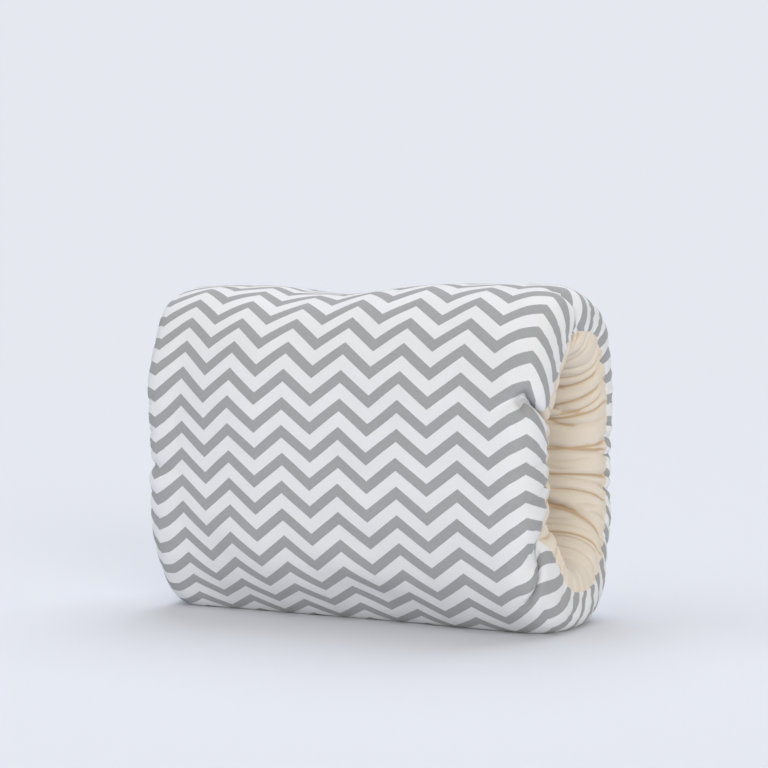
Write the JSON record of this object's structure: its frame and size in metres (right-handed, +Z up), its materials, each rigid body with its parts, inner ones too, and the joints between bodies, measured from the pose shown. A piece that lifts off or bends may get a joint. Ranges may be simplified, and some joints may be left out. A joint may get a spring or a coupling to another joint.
{
  "type": "nursing pillow",
  "caption": "Slip-on arm nursing pillow: a stuffed flattened ring with a printed cotton cover, a gathered lining through the arm tunnel, and a zip along the back.",
  "frame": {"origin": "on the floor, under the middle of the pillow's whole length and depth", "axes": "+X along the arm tunnel, +Z up, -Y towards the plain front, +Y towards the zip at the back"},
  "size_m": [0.276, 0.1418, 0.1998],
  "materials": {
    "cover_print": "matte",
    "lining": "matte",
    "bag_cloth": "matte",
    "fibre": "matte",
    "elastic": "matte",
    "zip_tape": "matte",
    "zip_teeth": "satin",
    "zip_metal": "satin",
    "label": "satin"
  },
  "bodies": {
    "pillow": {"outer_cover": "cover_print", "inner_sleeve": "lining", "mouth_elastic_left": "elastic", "mouth_elastic_right": "elastic", "middle_elastic": "elastic", "fill_bag": "bag_cloth", "fibre_fill": "fibre", "zip_tape_upper": "zip_tape", "zip_tape_lower": "zip_tape", "zip_teeth_upper": "zip_teeth", "zip_teeth_lower": "zip_teeth", "zip_top_stops": "zip_metal", "zip_bottom_stop": "zip_metal", "care_label": "label"},
    "slider": {"zip_slider": "zip_metal"},
    "pull": {"zip_pull": "zip_metal"}
  },
  "joints": [
    {"name": "zip_slide", "type": "slide", "parent": "pillow", "child": "slider", "axis": [-1, 0, 0], "range_m": [0, 0.174], "deforming": ["zip_teeth_upper", "zip_teeth_lower"]},
    {"name": "pull_swing", "type": "hinge", "parent": "slider", "child": "pull", "pos_m": [0.0872, 0.06969, 0.098], "axis": [0, 0, -1], "range_deg": [0, 180]}
  ]
}
